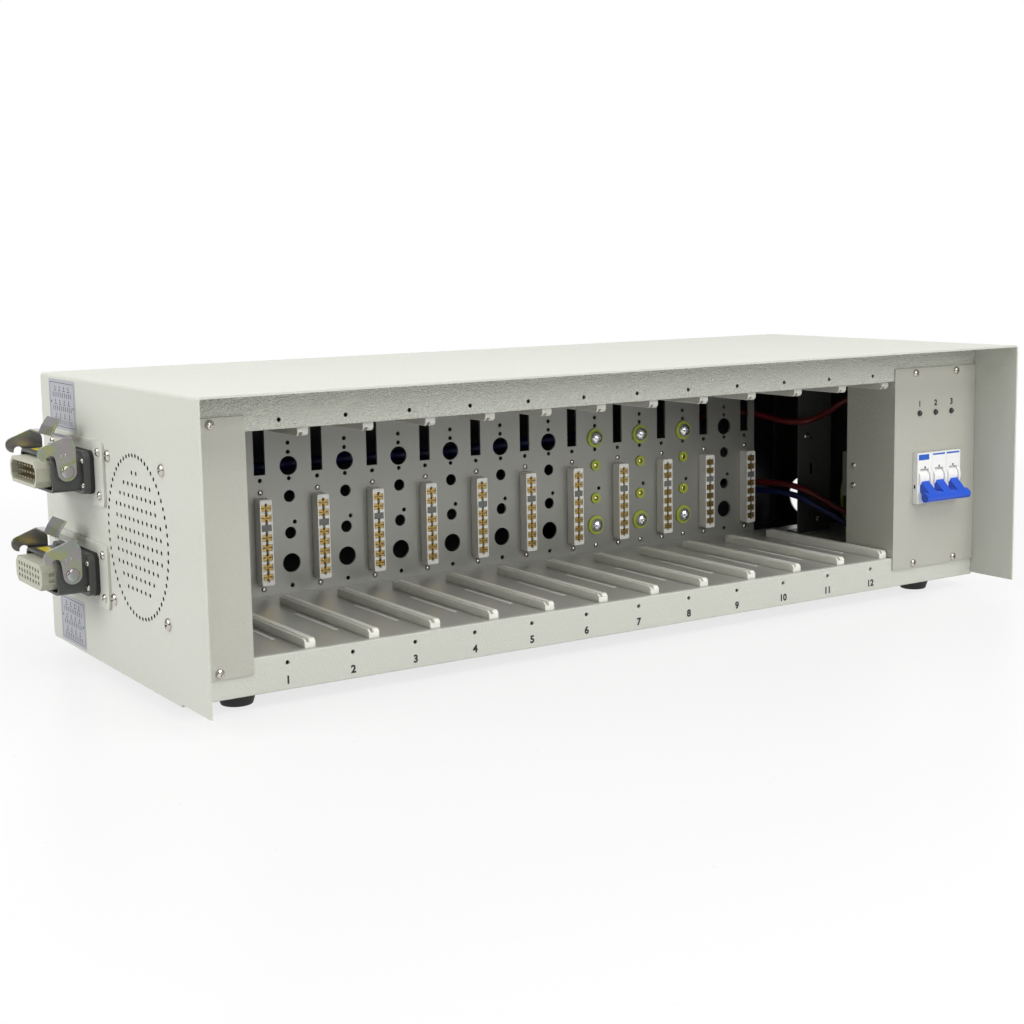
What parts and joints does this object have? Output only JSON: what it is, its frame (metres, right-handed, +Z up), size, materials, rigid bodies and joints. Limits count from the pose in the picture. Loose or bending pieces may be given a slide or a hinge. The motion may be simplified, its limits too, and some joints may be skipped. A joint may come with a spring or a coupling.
{
  "type": "mainframe chassis",
  "caption": "Low, wide sheet-metal mainframe with an open card cage under a front hood, lever-locked multi-pole side connectors, a side fan and a breaker panel.",
  "frame": {"origin": "middle of the outline on the ground under the feet", "axes": "+X to the right seen from the front, +Y from the front to the back, +Z up"},
  "size_m": [0.8072, 0.3214, 0.2218],
  "materials": {
    "cream_paint": "pale grey-cream powder coat with a fine leather grain",
    "grey_sheet": "matt neutral grey",
    "white_nylon": "natural white nylon",
    "ivory_moulding": "ivory moulded plastic",
    "gilt_contact": "gilt contact metal",
    "grey_key": "grey moulded plastic",
    "nickel_screw": "nickel-plated",
    "copper_bar": "bare copper",
    "lime_bush": "yellow-green insulation",
    "bright_bolt": "bright plated",
    "red_lead": "red cable sheath",
    "blue_lead": "blue cable sheath",
    "green_lead": "yellow-green cable sheath",
    "black_plastic": "black moulded plastic",
    "black_rubber": "black rubber",
    "dark_casting": "dark grey coated die-casting",
    "zinc_lever": "zinc-plated sheet with an iridescent passivation",
    "white_breaker": "white moulded plastic",
    "blue_handle": "blue moulded plastic",
    "dark_lamp": "dark red lens, unlit"
  },
  "bodies": {
    "chassis": {"cover": "cream_paint", "base_tray": "cream_paint", "front_rail": "cream_paint", "module_floor": "grey_sheet", "module_ceiling": "grey_sheet", "backplane": "grey_sheet", "rear_panel": "cream_paint", "left_panel": "cream_paint", "power_panel": "cream_paint", "lower_guides": "white_nylon", "upper_guides": "white_nylon", "slot_connector_01": "ivory_moulding", "slot_connector_02": "ivory_moulding", "slot_connector_03": "ivory_moulding", "slot_connector_04": "ivory_moulding", "slot_connector_05": "ivory_moulding", "slot_connector_06": "ivory_moulding", "slot_connector_07": "ivory_moulding", "slot_connector_08": "ivory_moulding", "slot_connector_09": "ivory_moulding", "slot_connector_10": "ivory_moulding", "slot_connector_11": "ivory_moulding", "slot_connector_12": "ivory_moulding", "slot_contacts": "gilt_contact", "slot_keys": "grey_key", "slot_screws": "nickel_screw", "bus_bars": "copper_bar", "bus_bushings": "lime_bush", "bus_bolts": "bright_bolt", "bus_pins": "gilt_contact", "wiring_bracket": "grey_sheet", "red_lead_upper": "red_lead", "red_lead_lower": "red_lead", "blue_lead_lower": "blue_lead", "earth_lead": "green_lead", "blue_loom": "blue_lead", "fan_frame": "black_plastic", "upper_plate": "cream_paint", "upper_gasket": "black_rubber", "upper_housing": "dark_casting", "upper_insert": "ivory_moulding", "upper_pins": "gilt_contact", "lower_plate": "cream_paint", "lower_gasket": "black_rubber", "lower_housing": "dark_casting", "lower_insert": "ivory_moulding", "plate_screws": "nickel_screw", "flange_screws": "nickel_screw", "breaker_body": "white_breaker", "breaker_rail": "nickel_screw", "breaker_bracket": "grey_sheet", "indicator_lamps": "dark_lamp", "panel_screws": "nickel_screw", "case_screws": "nickel_screw", "feet": "black_rubber"},
    "upper_lever": {"upper_lever": "zinc_lever"},
    "lower_lever": {"lower_lever": "zinc_lever"},
    "breaker_handle": {"breaker_handle": "blue_handle", "breaker_drums": "white_breaker"},
    "fan_rotor": {"fan_rotor": "black_plastic"}
  },
  "joints": [
    {"name": "upper_lever_hinge", "type": "hinge", "parent": "chassis", "child": "upper_lever", "pos_m": [-0.38265, 0.0773, 0.15655], "axis": [0, 1, 0], "range_deg": [-40, 10]},
    {"name": "lower_lever_hinge", "type": "hinge", "parent": "chassis", "child": "lower_lever", "pos_m": [-0.38265, 0.0773, 0.08055], "axis": [0, 1, 0], "range_deg": [-40, 10]},
    {"name": "breaker_handle_hinge", "type": "hinge", "parent": "chassis", "child": "breaker_handle", "pos_m": [0.35135, -0.1127, 0.1058], "axis": [-1, 0, 0], "range_deg": [0, 75]},
    {"name": "fan_spin", "type": "hinge", "parent": "chassis", "child": "fan_rotor", "pos_m": [-0.34785, -0.0417, 0.11655], "axis": [1, 0, 0], "continuous": true}
  ]
}
